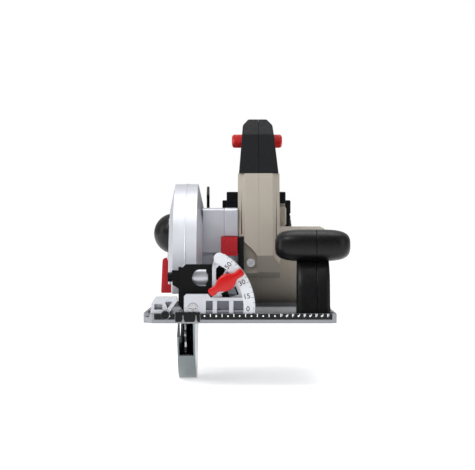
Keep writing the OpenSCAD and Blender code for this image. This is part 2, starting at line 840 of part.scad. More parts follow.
module motor_end_cap() {
    color("#b0a89c") difference() {
        union() {
            difference() {
                turned(motor_y, motor_z) polygon([[0, barrel_x1 + 0.02], [motor_r, barrel_x1 + 0.02],
                        [motor_r, cap_x1 - 6],
                    [motor_r - 2, cap_x1 - 2], [motor_r - 6, cap_x1], [0, cap_x1]]);
                turned(motor_y, motor_z) polygon([[0, barrel_x1 - 1], [motor_r - wall, barrel_x1 - 1],
                    [motor_r - wall, cap_x1 - 7], [motor_r - 8, cap_x1 - wall], [0, cap_x1 - wall]]);
            }
            ring_x(55, cap_x1 - 1, 11.02, 14, motor_y, motor_z);
            for (a = [30 : 120 : 270]) translate([0, motor_y + 29 * cos(a), motor_z + 29 * sin(a)])
                rod_x(53, cap_x1 - 2, 3.6, 0, 0);
        }
        for (a = [0 : 30 : 330]) translate([0, motor_y, motor_z]) rotate([a, 0, 0])
            block([cap_x1 - 5, 17, -1.5], [cap_x1 + 1, 26, 1.5]);
        for (a = [-40 : 16 : 40]) translate([0, motor_y, motor_z]) rotate([a + 180, 0, 0])
            block([62, motor_r - 8, -1.3], [74, motor_r + 2, 1.3]);
    }
}

// the clamshell's screws, the grip's and the one at the foot of the column
module housing_screws() {
    color("#5c5e62") {
        for (s = SHELL_SCREWS) shell_screw(column_x1 - 4, 4.5, s[0], s[1]);
        for (s = GRIP_SCREWS) shell_screw(26, 5.5, s[0], s[1]);
        translate([10, scoop_y - 2.4, 50.5]) difference() {
            rod_y(0, 2.4, 3.8, 0, 0);
            rotate([90, 0, 0]) cross_recess(4.4, 1.4);
        }
    }
}

module shell_screw(x_head, x_tip, y, z) {
    translate([x_head, y, z]) difference() {
        union() {
            rod_x(0, 2, 3.1, 0, 0);
            rod_x(x_tip - x_head, 0.5, 1.5, 0, 0);
        }
        translate([2, 0, 0]) rotate([0, 90, 0]) cross_recess(4, 1.3);
    }
}

// ---- inside ----

module stator_core() {
    color("#6f7276") side(12, 46) translate([motor_y, motor_z]) {
        sector(28.5, 32.6, 0, 180);
        sector(28.5, 32.6, 180, 360);
        for (a = [0 : 60 : 300]) rotate(a) {
            translate([18.5, -3.5]) square([11, 7]);
            sector(17.2, 20, -20, 20);
        }
    }
}

module stator_coils() {
    color("#b06a2c") for (a = [0 : 60 : 300]) translate([0, motor_y, motor_z]) rotate([a, 0,
            0]) difference() {
        block([9, 20.6, -6.6], [49, 27.5, 6.6]);
        block([11.9, 20, -3.6], [46.1, 29, 3.6]);
    }
}

module switch_module() {
    color("#2d2f33") in_grip() {
        block([9.4, 7, -1], [25.4, 38, 12]);
        block([14.4, 12, -2.2], [20.4, 26, -1]);
    }
}

module control_module() {
    color("#2f5b3a") {
        block([6, -46, 84], [29, -43.6, 122]);
        block([9, -43.6, 90], [26, -34, 104]);
    }
}

// the rail that the battery slides on, below the foot
module battery_rail() {
    color("#1d1d20") front(battery_y[0] + 0.4, rail_y1)
        polygon([[6, 109.7], [6, 105], [1, 105], [1, 100.5], [32, 100.5], [32, 105], [27, 105],
                [27, 109.7]]);
}

// ---- turning with the blade ----

module spindle() {
    color("#a4a7ab") difference() {
        turned(arbor_y, arbor_z) polygon([[0, -47.4], [8, -47.4], [8, hub_x - 0.1], [6, hub_x - 0.1],
                [6, -20.2],
            [5.5, -20.2], [5.5, -14.1], [4, -14.1], [4, -7.2], [0, -7.2]]);
        rod_x(-48, -32, 4.02, arbor_y, arbor_z);
    }
}

module output_gear() color("#8a8d91") spur(gear_teeth, gear_x0, gear_x1, 6.01, arbor_y, arbor_z,
        gear_phase);

module lock_plate() {
    color("#8a8d91") side(-18.8, -16) translate([arbor_y, arbor_z]) difference() {
        circle(13);
        circle(5.52);
        for (a = [0 : 60 : 300]) rotate(a) translate([8.6, -3.2]) square([8, 6.4]);
    }
}

module inner_flange() {
    color("#8f9296") turned(arbor_y, arbor_z)
        polygon([[8.02, blade_x1], [8.02, inner_flange_x], [19.5, inner_flange_x], [19.5, blade_x1],
                 [blade_bore / 2 - fit, blade_x1], [blade_bore / 2 - fit, blade_x0 + 0.2],
                         [4.1, blade_x0 + 0.2], [4.1, blade_x1]]);
}

module saw_blade() {
    color("#c4c7cb") side(blade_x0, blade_x1) translate([arbor_y, arbor_z]) difference() {
        polygon([for (i = [0 : blade_teeth - 1], k = [[1, 0.04], [0.993, 0.2], [0.92, 0.62],
                [0.905, 0.8], [0.935, 0.99]])
            let (a = (i + k[1]) * 360 / blade_teeth) blade_r * k[0] * [cos(a), sin(a)]]);
        circle(blade_bore / 2);
        for (a = [20 : 90 : 290]) rotate(a) {
            translate([58, -0.5]) square([15, 1]);
            translate([57, 0]) circle(2);
        }
    }
}

module outer_flange() color("#8f9296") ring_x(outer_flange_x, blade_x0, 4.1, 19.5, arbor_y, arbor_z);

module blade_bolt() {
    color("#8f9296") {
        translate([-58, arbor_y, arbor_z]) rotate([0, 90, 0]) cylinder(h = 4, r = 7.5, $fn = 6);
        rod_x(-54.2, outer_flange_x, 9, arbor_y, arbor_z);
        rod_x(outer_flange_x - 1, -33, 4, arbor_y, arbor_z);
    }
}

// ---- turning with the motor ----

module motor_shaft() color("#a4a7ab") rod_x(gear_x0, 62.5, 4, motor_y, motor_z);

module rotor_core() {
    color("#55585c") ring_x(12, 46, 4.01, 16.6, motor_y, motor_z);
}

module drive_pinion() color("#8a8d91") spur(pinion_teeth, gear_x0, gear_x1, 4.01, motor_y, motor_z,
        pinion_phase);

module cooling_fan() {
    color("#33363a") {
        ring_x(0.6, 6.4, 4.01, 8, motor_y, motor_z);
        ring_x(0.6, 1.8, 7.9, 27, motor_y, motor_z);
        for (a = [0 : 36 : 324]) translate([0, motor_y, motor_z]) rotate([a, 0, 0])
            block([1.7, 9, -0.6], [6.4, 26.6, 0.6]);
    }
}

// ---- controls ----

module depth_lock_lever() {
    color("#1c1c1e") difference() {
        union() {
            rod_x(-28.8, -19, 8, bolt_y, bolt_z);
            side(-26, -20) translate([bolt_y, bolt_z]) rotate(6)
                polygon([[0, -7], [0, 7], [40, 4.5], [46, 0], [42, -4.5]]);
        }
        rod_x(-30, -19.8, 3.04, bolt_y, bolt_z);
    }
}

// the button, its flat link down to the spindle and the tongue that enters the lock plate
module spindle_lock_button() {
    color("#c02a38") {
        block([-16.3, -75, 57], [-1.9, -61, 74]);
        block([-19.2, -61.2, 57.5], [-15.6, -53, 62.5]);
        block([-19.2, -55.5, 27.2], [-15.6, -52.6, 62.5]);
        block([-18.8, -55, 27.2], [-16, -29.4, 32]);
    }
}

module lock_off_button() color("#d0303c") in_grip() block([-7.2, -5, -5.5], [39.9, 5, 5.5]);

module trigger() {
    color("#242427") in_grip() side(10.4, 24.4)
        polygon([[8, -9], [8, -22], [12, -27], [28, -27], [32, -22], [32, -9]]);
}

// ---- battery ----

// the battery's box between two heights, drawn in by i at the sides
module battery_box(i, z0, z1) block([battery_x0 + i, battery_y[0] + i, z0],
        [battery_x1 - i, battery_y[1] - i, z1]);

module battery_tub() {
    color("#1b1b1d") difference() {
        battery_box(0, battery_z[0], battery_z[1]);
        battery_box(2.5, battery_z[0] + 2.5, battery_z[1] + 1);
    }
}

module battery_lid() {
    color("#1b1b1d") difference() {
        battery_box(0, battery_z[1] + 0.02, battery_z[2]);
        front(battery_y[0] - 1, rail_y1 + 0.5)
            polygon([[5.5, 110], [5.5, 105.5], [0.5, 105.5], [0.5, 100], [32.5, 100], [32.5, 105.5],
                    [27.5, 105.5], [27.5, 110]]);
        block([8, 149.9, 99], [25, 156, 120]);
    }
}

module battery_cells() {
    color("#3f6ea5") {
        for (x = [-3.2, 16.5, 36.2]) rod_y(74, 139, 9.2, x, 70.4);
        for (x = [6.7, 26.4]) rod_y(74, 139, 7.6, x, 87);
    }
}

module battery_latch() color("#c02a38") block([8.3, 150.4, 104.6], [24.7, 155.7, 113.9]);

base_plate();
front_scale_strip();
sight_guide();
bevel_quadrant();
bevel_pivot_screw();
bevel_lock_bolt();
rear_base_bracket();
base_screws();
fence_clamp_block();
aux_handle_left();
aux_handle_right();
bevel_lock_lever();
fence_clamp_screw();
front_bracket();
depth_pivot_pin();
rear_depth_plate();
rear_pivot_rivet();
upper_guard();
gear_case();
gear_case_cover();
guard_retaining_ring();
guard_return_spring();
spindle_bearing_outer();
spindle_bearing_inner();
depth_lock_bolt();
dust_port();
housing_left();
housing_right();
grip_left();
grip_right();
motor_end_cap();
housing_screws();
stator_core();
stator_coils();
motor_bearing_front();
motor_bearing_rear();
switch_module();
control_module();
battery_rail();
spindle();
output_gear();
lock_plate();
inner_flange();
saw_blade();
outer_flange();
blade_bolt();
motor_shaft();
rotor_core();
drive_pinion();
cooling_fan();
lower_guard();
retract_lever();
depth_lock_lever();
spindle_lock_button();
lock_off_button();
trigger();
battery_tub();
battery_lid();
battery_cells();
battery_latch();
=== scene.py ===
"""Looks of a cordless circular saw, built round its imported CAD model.

Lengths are in mm until a mesh is made.
"""
import json
import math

import bmesh
import bpy
from mathutils import Matrix, Vector


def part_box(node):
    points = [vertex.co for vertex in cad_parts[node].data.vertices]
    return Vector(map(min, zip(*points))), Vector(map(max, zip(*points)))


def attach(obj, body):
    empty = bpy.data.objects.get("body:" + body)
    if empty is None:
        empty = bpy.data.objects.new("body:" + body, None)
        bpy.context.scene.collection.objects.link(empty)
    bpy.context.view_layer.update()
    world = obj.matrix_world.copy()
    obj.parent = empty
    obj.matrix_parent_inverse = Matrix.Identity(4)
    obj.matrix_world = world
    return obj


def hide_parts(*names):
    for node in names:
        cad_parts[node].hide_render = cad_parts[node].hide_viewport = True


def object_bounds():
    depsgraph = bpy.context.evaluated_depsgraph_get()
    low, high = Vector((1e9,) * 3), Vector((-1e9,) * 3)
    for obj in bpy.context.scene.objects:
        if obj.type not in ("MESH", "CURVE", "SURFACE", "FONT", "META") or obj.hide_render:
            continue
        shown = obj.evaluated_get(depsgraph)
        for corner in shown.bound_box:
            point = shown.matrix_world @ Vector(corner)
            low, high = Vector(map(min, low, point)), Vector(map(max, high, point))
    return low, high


MM = 0.001
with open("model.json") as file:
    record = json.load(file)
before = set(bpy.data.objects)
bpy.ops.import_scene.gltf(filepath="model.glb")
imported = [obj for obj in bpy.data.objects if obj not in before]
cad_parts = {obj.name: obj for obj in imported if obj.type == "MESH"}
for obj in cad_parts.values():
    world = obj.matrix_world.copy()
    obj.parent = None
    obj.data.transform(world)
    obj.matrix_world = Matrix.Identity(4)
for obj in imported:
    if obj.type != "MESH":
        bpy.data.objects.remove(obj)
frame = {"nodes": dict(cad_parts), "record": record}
cad_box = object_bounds()
nodes = frame["nodes"]
slot_of = {s["node"]: s["material_slot"] for s in frame["record"]["subparts"]}

# ---- materials ----


def linear(rgb):
    """A colour in 0 to 255, as the linear numbers that a shader takes."""
    return [(c / 255 / 12.92) if c < 11 else ((c / 255 + 0.055) / 1.055) ** 2.4 for c in rgb]


def noise(tree, size, stretch=(1, 1, 1), detail=2.0, rough=0.5):
    """A noise texture whose features are about size mm across, longer where stretch is below 1."""
    coords = tree.nodes.new("ShaderNodeTexCoord")
    mapping = tree.nodes.new("ShaderNodeMapping")
    mapping.inputs["Scale"].default_value = stretch
    texture = tree.nodes.new("ShaderNodeTexNoise")
    texture.inputs["Scale"].default_value = 1 / (size * MM)
    texture.inputs["Detail"].default_value = detail
    texture.inputs["Roughness"].default_value = rough
    tree.links.new(coords.outputs["Object"], mapping.inputs["Vector"])
    tree.links.new(mapping.outputs["Vector"], texture.inputs["Vector"])
    return texture.outputs["Fac"]


def ramp(tree, value, low, high, start=0.3, end=0.7):
    """A colour between low and high as value goes from start to end."""
    node = tree.nodes.new("ShaderNodeValToRGB")
    node.color_ramp.elements[0].position = start
    node.color_ramp.elements[1].position = end
    node.color_ramp.elements[0].color = (*low, 1)
    node.color_ramp.elements[1].color = (*high, 1)
    tree.links.new(value, node.inputs["Fac"])
    return node.outputs["Color"]


def spread(tree, value, low, high):
    """A number between low and high as value goes from 0.3 to 0.7."""
    node = tree.nodes.new("ShaderNodeMapRange")
    for name, number in (("From Min", 0.3), ("From Max", 0.7), ("To Min", low), ("To Max", high)):
        node.inputs[name].default_value = number
    tree.links.new(value, node.inputs["Value"])
    return node.outputs["Result"]


def surface(name, rgb, rough, metallic=0.0, tone=0.08, patch=18, grain=0.3, grain_size=0.45,
            stretch=(1, 1, 1), swing=0.06, coat=0.0, marks=0.0, specular=0.5):
    """A finish: colour that drifts in patches, roughness that varies, a fine grain and faint rub marks."""
    mat = bpy.data.materials.new(name)
    mat.use_nodes = True
    tree = mat.node_tree
    shader = tree.nodes["Principled BSDF"]
    base = linear(rgb)
    shader.inputs["Metallic"].default_value = metallic
    shader.inputs["Coat Weight"].default_value = coat
    shader.inputs["Specular IOR Level"].default_value = specular
    low = [c * (1 - tone) for c in base]
    high = [min(1, c * (1 + tone)) for c in base]
    colour = ramp(tree, noise(tree, patch, stretch, 4, 0.6), low, high)
    if marks:
        rub = ramp(tree, noise(tree, 6, (1, 1, 0.25), 6, 0.7), (0, 0, 0), (1, 1, 1), 0.62, 0.72)
        mix = tree.nodes.new("ShaderNodeMix")
        mix.data_type = "RGBA"
        mix.inputs["B"].default_value = (*[min(1, c * (1 + marks) + 0.01 * marks) for c in base], 1)
        tree.links.new(rub, mix.inputs["Factor"])
        tree.links.new(colour, mix.inputs["A"])
        colour = mix.outputs["Result"]
    tree.links.new(colour, shader.inputs["Base Color"])
    tree.links.new(spread(tree, noise(tree, patch / 5, stretch, 3), rough - swing, rough + swing),
                   shader.inputs["Roughness"])
    bump = tree.nodes.new("ShaderNodeBump")
    bump.inputs["Strength"].default_value = grain
    bump.inputs["Distance"].default_value = 0.05 * MM
    tree.links.new(noise(tree, grain_size, stretch, 2), bump.inputs["Height"])
    tree.links.new(bump.outputs["Normal"], shader.inputs["Normal"])
    return mat


# After the name: colour, roughness, metallic, tone, patch, grain and grain_size.
FINISHES = {
    "cast_silver": surface("cast_silver", (200, 202, 209), 0.36, 0.45, 0.05, 24, 0.3, 0.5, coat=0.1),
    "plate_steel": surface("plate_steel", (154, 156, 161), 0.35, 0.9, 0.06, 20, 0.1, 0.6,
                           stretch=(1, 0.1, 1), swing=0.04),
    "guard_steel": surface("guard_steel", (132, 139, 141), 0.33, 0.95, 0.05, 20, 0.12, 0.4,
                           stretch=(1, 0.15, 0.15), swing=0.03),
    "black_steel": surface("black_steel", (5, 5, 6), 0.42, 0.0, 0.1, 12, 0.3, 0.4, marks=0.5,
                           specular=0.16),
    "zinc_steel": surface("zinc_steel", (190, 190, 193), 0.26, 1.0, 0.08, 5, 0.15, 0.25),
    "hardened_steel": surface("hardened_steel", (150, 152, 158), 0.3, 1.0, 0.1, 8, 0.15, 0.2),
    "blade_steel": surface("blade_steel", (168, 170, 174), 0.3, 1.0, 0.03, 30, 0.12, 0.25, swing=0.02),
    "beige_plastic": surface("beige_plastic", (170, 162, 150), 0.52, 0.0, 0.03, 25, 0.3, 0.45,
                             swing=0.05, specular=0.4),
    "black_rubber": surface("black_rubber", (14, 15, 18), 0.6, 0.0, 0.12, 12, 0.5, 0.5, swing=0.08,
                            marks=0.3, specular=0.17),
    "black_plastic": surface("black_plastic", (7, 7, 9), 0.36, 0.0, 0.1, 14, 0.3, 0.4, swing=0.06,
                             specular=0.25),
    "red_plastic": surface("red_plastic", (186, 14, 14), 0.32, 0.0, 0.05, 14, 0.05, 0.6, coat=0.1,
                           specular=0.3),
    "dark_red_plastic": surface("dark_red_plastic", (180, 22, 34), 0.36, 0.0, 0.06, 12, 0.06, 0.5,
                                specular=0.35),
    "scale_black": surface("scale_black", (12, 12, 14), 0.4, 0.0, 0.1, 10, 0.1, 0.4, specular=0.3),
    "copper_winding": surface("copper_winding", (184, 104, 52), 0.3, 0.9, 0.15, 2, 0.6, 0.5,
                              stretch=(1, 0.1, 1)),
    "core_steel": surface("core_steel", (96, 99, 104), 0.45, 0.8, 0.1, 3, 0.6, 0.5,
                          stretch=(4, 0.2, 0.2)),
    "board_green": surface("board_green", (40, 92, 58), 0.4, 0.0, 0.15, 3, 0.3, 0.8),
    "cell_wrap": surface("cell_wrap", (50, 92, 150), 0.3, 0.0, 0.05, 12, 0.1, 0.5, coat=0.3),
}
SCALE_PAINT = surface("scale_paint", (214, 217, 222), 0.42, 0.25, 0.03, 10, 0.1, 0.4)
# Painted shade: a darker colour for the pocket floors, standing in for the shade inside the bevel casting's
# pockets; the rough grain is real.
POCKET_SHADE = surface("pocket_painted_shade", (122, 124, 131), 0.55, 0.4, 0.12, 6, 0.7, 0.8)
WHITE_INK = surface("white_ink", (238, 239, 240), 0.45, 0.0, 0.03, 6, 0.1, 0.3)
DARK_INK = surface("dark_ink", (24, 25, 28), 0.45, 0.0, 0.1, 6, 0.1, 0.3)
CARBIDE = surface("carbide", (92, 94, 98), 0.35, 1.0, 0.15, 1.5, 0.4, 0.3)

# ---- edges of the CAD nodes ----

SHARP = 32


def smooth_group():
    """Geometry nodes that shade a mesh smooth, except across edges of more than SHARP degrees."""
    tree = bpy.data.node_groups.new("smooth_by_angle", "GeometryNodeTree")
    tree.interface.new_socket("Geometry", in_out="INPUT", socket_type="NodeSocketGeometry")
    tree.interface.new_socket("Geometry", in_out="OUTPUT", socket_type="NodeSocketGeometry")
    start = tree.nodes.new("NodeGroupInput")
    end = tree.nodes.new("NodeGroupOutput")
    angle = tree.nodes.new("GeometryNodeInputMeshEdgeAngle")
    test = tree.nodes.new("FunctionNodeCompare")
    test.operation = "LESS_EQUAL"
    test.inputs["B"].default_value = math.radians(SHARP)
    faces = tree.nodes.new("GeometryNodeSetShadeSmooth")
    edges = tree.nodes.new("GeometryNodeSetShadeSmooth")
    edges.domain = "EDGE"
    tree.links.new(angle.outputs["Unsigned Angle"], test.inputs["A"])
    tree.links.new(start.outputs[0], faces.inputs["Geometry"])
    tree.links.new(faces.outputs["Geometry"], edges.inputs["Geometry"])
    tree.links.new(test.outputs["Result"], edges.inputs["Shade Smooth"])
    tree.links.new(edges.outputs["Geometry"], end.inputs[0])
    return tree


SMOOTH = smooth_group()


def soften(obj, width, segments=2, turned=False):
    """Breaks the edges of a piece by width mm with modifiers, and shades it smooth between them."""
    obj.modifiers.new("weld", "WELD").merge_threshold = 2e-6
    if not turned:
        flat = obj.modifiers.new("flat", "DECIMATE")
        flat.decimate_type = "DISSOLVE"
        flat.angle_limit = math.radians(0.3)
    if width:
        bevel = obj.modifiers.new("edge", "BEVEL")
        bevel.width = width * MM
        bevel.segments = segments
        bevel.limit_method = "ANGLE"
        bevel.angle_limit = math.radians(35)
        bevel.miter_outer = "MITER_ARC"
    obj.modifiers.new("smooth", "NODES").node_group = SMOOTH
    if not turned:
        obj.modifiers.new("normals", "WEIGHTED_NORMAL").keep_sharp = True


PLAIN_EDGE = 0.2
EDGES = {
    "housing_left": 0.9, "housing_right": 0.9, "gear_case": 1.2, "gear_case_cover": 1.0,
    "base_plate": 0.6, "bevel_quadrant": 0.8, "front_bracket": 0.4, "fence_clamp_block": 0.6,
    "grip_left": 1.6, "grip_right": 1.6, "retract_lever": 1.2, "trigger": 1.6, "lock_off_button": 2.6,
    "spindle_lock_button": 1.3, "battery_tub": 2.2, "battery_lid": 1.6, "depth_lock_lever": 1.4,
    "bevel_lock_lever": 1.2, "battery_latch": 0.8, "rear_depth_plate": 0.4, "rear_base_bracket": 0.5,
    "sight_guide": 0.3, "front_scale_strip": 0.15, "aux_handle_left": 1.2, "aux_handle_right": 1.2,
    "saw_blade": 0.0, "battery_rail": 0.5,
}
TURNED = {"upper_guard", "dust_port", "motor_end_cap", "lower_guard"}
for name, obj in nodes.items():
    obj.data.materials.clear()
    obj.data.materials.append(FINISHES[slot_of[name]])
    soften(obj, 0 if name in TURNED else EDGES.get(name, PLAIN_EDGE), turned=name in TURNED)

# ---- added pieces: shared shapes ----


def piece(name, bm, body, slot, mat=None, at=None):
    """A new piece from a bmesh in mm, riding on a body, with the finish of a record's slot or its own."""
    if at is not None:
        bm.transform(at)
    bm.transform(Matrix.Scale(MM, 4))
    bmesh.ops.recalc_face_normals(bm, faces=bm.faces)
    mesh = bpy.data.meshes.new(name)
    bm.to_mesh(mesh)
    bm.free()
    mesh.materials.append(mat or FINISHES[slot])
    obj = bpy.data.objects.new(name, mesh)
    bpy.context.scene.collection.objects.link(obj)
    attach(obj, body)
    return obj


def signed_power(value, power):
    """A power of a number, with the number's own sign."""
    return math.copysign(abs(value) ** power, value)


def superellipse(cx, cy, rx, ry, power, count=48):
    """Points round a rounded rectangle."""
    points = []
    for k in range(count):
        a = 2 * math.pi * k / count
        points.append((cx + rx * signed_power(math.cos(a), 2 / power),
                       cy + ry * signed_power(math.sin(a), 2 / power)))
    return points


def add_box(bm, lo, hi, frame_at=Matrix()):
    """A block between two corners, in a frame of its own, added to bm."""
    lo, hi = Vector(lo), Vector(hi)
    at = frame_at @ Matrix.Translation((lo + hi) / 2) @ Matrix.Diagonal((*(hi - lo), 1))
    bmesh.ops.create_cube(bm, size=1, matrix=at)


def rod_x(bm, x0, x1, y, z, r, sides=24):
    """A rod along X, added to bm."""
    at = Matrix.Translation(((x0 + x1) / 2, y, z)) @ Matrix.Rotation(math.pi / 2, 4, "Y")
    bmesh.ops.create_cone(bm, cap_ends=True, segments=sides, radius1=r, radius2=r, depth=x1 - x0, matrix=at)


def rod_y(bm, x, y0, y1, z, r, sides=16):
    """A rod along Y, added to bm."""
    at = Matrix.Translation((x, (y0 + y1) / 2, z)) @ Matrix.Rotation(math.pi / 2, 4, "X")
    bmesh.ops.create_cone(bm, cap_ends=True, segments=sides, radius1=r, radius2=r, depth=y1 - y0, matrix=at)


def loft(bm, rings, around=False):
    """Skins rings of points that have the same count, with flat ends or, if around, back to the first."""
    made = [[bm.verts.new(p) for p in ring] for ring in rings]
    count = len(made[0])
    for a, b in zip(made, made[1:] + made[:1] if around else made[1:]):
        for k in range(count):
            bm.faces.new((a[k], a[(k + 1) % count], b[(k + 1) % count], b[k]))
    if not around:
        bm.faces.new(list(reversed(made[0])))
        bm.faces.new(made[-1])


def slice_off(bm, point, outward):
    """Cuts away what lies past a plane, and closes the cut."""
    cut = bmesh.ops.bisect_plane(bm, geom=bm.verts[:] + bm.edges[:] + bm.faces[:], clear_outer=True,
                                 plane_co=point, plane_no=outward)
    rim = [e for e in cut["geom_cut"] if isinstance(e, bmesh.types.BMEdge)]
    bmesh.ops.holes_fill(bm, edges=rim, sides=0)


# ---- added pieces: scales and marks of the base ----

STRIP_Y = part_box("front_scale_strip")[0].y / MM
STRIP_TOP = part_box("front_scale_strip")[1].z / MM
SIGHT_X0, SIGHT_X1 = -57, -32


def beside_sight(x):
    """Whether a place on the front strip is clear of the sight guide."""
    return not SIGHT_X0 < x < SIGHT_X1


def strip_marks():
    """White centimetre marks and the dots between them, printed on the front scale strip."""
    bm = bmesh.new()
    front, back = STRIP_Y - 0.06, STRIP_Y + 0.1
    for i in range(-7, 8):
        x = 5 + 10 * i
        if beside_sight(x):
            add_box(bm, (x - 0.35, front, 5.6), (x + 0.35, back, STRIP_TOP))
        if x < 70 and beside_sight(x + 5):
            rod_y(bm, x + 5, front, back, 6.4, 0.75)
    for x in range(36, 78, 5):
        add_box(bm, (x - 0.25, front, 6.3), (x + 0.25, back, STRIP_TOP))
    piece("strip_marks", bm, "base", "scale_black", WHITE_INK)


BEVEL_X, BEVEL_Z = -40.1, 13.1
BAND_R0, BAND_R1 = 43.5, 53.1
BAND_START, BAND_END = -6.5, 62
QUADRANT_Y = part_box("bevel_quadrant")[0].y / MM
BAND_Y = QUADRANT_Y - 0.14


def on_arc(radius, degrees, y):
    """A point on a circle about the bevel axis."""
    a = math.radians(degrees)
    return Vector((BEVEL_X + radius * math.cos(a), y, BEVEL_Z + radius * math.sin(a)))


def arc_frame(radius, degrees, y):
    """A frame at a point on a circle about the bevel axis, with its X pointing outwards."""
    return Matrix.Translation(on_arc(radius, degrees, y)) @ Matrix.Rotation(-math.radians(degrees), 4, "Y")


def band_outline(steps=48, cap_steps=12):
    """Points round the scale band, which has a square foot and a round top."""
    turn = (BAND_END - BAND_START) / steps
    outline = [on_arc(BAND_R1, BAND_START + turn * k, 0) for k in range(steps + 1)]
    cap, half = on_arc((BAND_R0 + BAND_R1) / 2, BAND_END, 0), (BAND_R1 - BAND_R0) / 2
    for k in range(1, cap_steps):
        a = math.radians(BAND_END + 180 * k / cap_steps)
        outline.append(cap + Vector((half * math.cos(a), 0, half * math.sin(a))))
    return outline + [on_arc(BAND_R0, BAND_END - turn * k, 0) for k in range(steps + 1)]


def bevel_scale():
    """The pale scale band on the quadrant, with a tick every five degrees on its outer edge."""
    band, ticks = bmesh.new(), bmesh.new()
    loft(band, [[(p.x, y, p.z) for p in band_outline()] for y in (BAND_Y, QUADRANT_Y + 0.3)])
    piece("bevel_scale_band", band, "base", "cast_silver", SCALE_PAINT)
    for degrees in range(-5, 56, 5):
        length = 1.9 if degrees in (-5, 10, 25, 50) else 1.1
        add_box(ticks, (-length, -0.22, -0.2), (0, 0.08, 0.2), arc_frame(BAND_R1 - 0.3, degrees, QUADRANT_Y))
    piece("bevel_ticks", ticks, "base", "scale_black", DARK_INK)


def numeral(text, degrees, size=6.2, radius=47.2):
    """A printed angle on the quadrant, as a thin raised mesh."""
    curve = bpy.data.curves.new(f"angle_{text}", "FONT")
    curve.body = text
    curve.size = size
    curve.align_x = curve.align_y = "CENTER"
    curve.extrude = 0.09
    curve.offset = 0.03
    curve.resolution_u = 3
    font = bpy.data.objects.new("angle", curve)
    bpy.context.scene.collection.objects.link(font)
    bpy.context.view_layer.update()
    mesh = bpy.data.meshes.new_from_object(font.evaluated_get(bpy.context.evaluated_depsgraph_get()))
    bm = bmesh.new()
    bm.from_mesh(mesh)
    bmesh.ops.remove_doubles(bm, verts=bm.verts, dist=1e-5)
    bpy.data.objects.remove(font)
    upright = arc_frame(radius, degrees, BAND_Y) @ Matrix.Rotation(math.pi / 2, 4, "X")
    piece(f"angle_{text}", bm, "base", "scale_black", DARK_INK, upright)


POCKETS_X = ((-29, -23), (-19.5, -9), (-5.5, 3))
POCKET_GAP, FLOOR_THICK = 0.25, 0.42


def shaded_pocket_floors():
    """The rough floors of the pockets in the bevel casting, in an upper and a lower row, darker in colour as
    painted shade of the pockets.
    """
    bm = bmesh.new()
    for x0, x1 in POCKETS_X:
        for y, z0, z1 in ((-136.72, 11.1, 19.05), (-141.32, 4.8, 10.4)):
            add_box(bm, (x0 + POCKET_GAP, y, z0), (x1 - POCKET_GAP, y + FLOOR_THICK, z1))
    piece("shaded_pocket_floors", bm, "base", "cast_silver", POCKET_SHADE)


strip_marks()
bevel_scale()
shaded_pocket_floors()
for text, degrees in (("0", -1), ("15", 12), ("30", 27), ("50", 50)):
    numeral(text, degrees)

# ---- added pieces: bevel lock ----

WING_CENTRE = Vector((-11.577, 0, 35.065))
WING_TILT = -34
WING_REACH = 17.2
WING_Y = -144.9
WING_SIDES = 20


def wing_lever():
    """The bevel lock's cast wing: an oval hub with two waisted arms that end in rounded pads."""
    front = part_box("bevel_lock_lever")[0].y / MM + 0.25
    # Place along the wing, and half its width there.
    stations = [(-WING_REACH, 2.2), (-16.4, 3.1), (-15, 3.6), (-13, 3.5), (-10.5, 3.1), (-8.2, 3.8),
                (-6, 5.4), (-3.2, 6.8), (0, 7.3), (3.2, 6.8), (6, 5.4), (8.2, 3.8), (10.5, 3.1),
                (13, 3.4), (15, 3.5), (16.4, 3.0), (WING_REACH, 2.1)]
    rings = []
    for u, half in stations:
        front_y = front + 1.5 * (abs(u) / WING_REACH) ** 2
        ring = []
        for k in range(WING_SIDES):
            a = 2 * math.pi * k / WING_SIDES
            s = math.sin(a)
            y = WING_Y + (front_y - WING_Y) * max(0, s) ** 0.6 + 2.1 * max(0, -s) ** 0.5
            ring.append((u, y, half * signed_power(math.cos(a), 0.75)))
        rings.append(ring)
    bm = bmesh.new()
    loft(bm, rings)
    bm.transform(Matrix.Translation(WING_CENTRE) @ Matrix.Rotation(math.radians(WING_TILT), 4, "Y"))
    for y0, y1, r in ((-143.2, -141.6, 6.4), (-143, -137.4, 5.3)):
        rod_y(bm, WING_CENTRE.x, y0, y1, WING_CENTRE.z, r, 40)
    lever = piece("wing_lever", bm, "bevel_lever", "red_plastic")
    soften(lever, 0.25)
    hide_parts("bevel_lock_lever")


wing_lever()

# ---- added pieces: front handle ----

KNOB, KNOB_HALF = Vector((64, -100, 66.4)), Vector((33, 21, 14))
KNOB_STEPS = 40
KNOB_SEAM, KNOB_GAP = 67.0, 0.12


def front_handle():
    """The knob, a fat rounded bar across the saw, on its waisted post."""
    bm = bmesh.new()
    rings = []
    for k in range(1, KNOB_STEPS):
        a = math.pi * k / KNOB_STEPS
        x = KNOB.x - KNOB_HALF.x * signed_power(math.cos(a), 2 / 3.9)
        r = math.sin(a) ** (2 / 3.3)
        section = superellipse(KNOB.y, KNOB.z, KNOB_HALF.y * r, KNOB_HALF.z * r, 2.9)
        rings.append([(x, y, z) for y, z in section])
    loft(bm, rings)
    # Height, then the limits in X and in Y.
    post = [(3.0, 48.4, 79.6, -128.9, -101), (6, 48.9, 79.2, -128.4, -101), (14, 49.5, 78.6, -127.2, -101),
            (30, 49.6, 78.5, -125, -101), (40, 49.6, 78.5, -121, -99), (47, 49.8, 78.3, -117, -95),
            (53, 50, 78.1, -111, -92), (60, 50.2, 77.9, -104, -88)]
    rings = []
    for z, x0, x1, y0, y1 in post:
        ring = superellipse((x0 + x1) / 2, (y0 + y1) / 2, (x1 - x0) / 2, (y1 - y0) / 2, 7, 64)
        rings.append([(x, y, z) for x, y in ring])
    loft(bm, rings)
    return bm


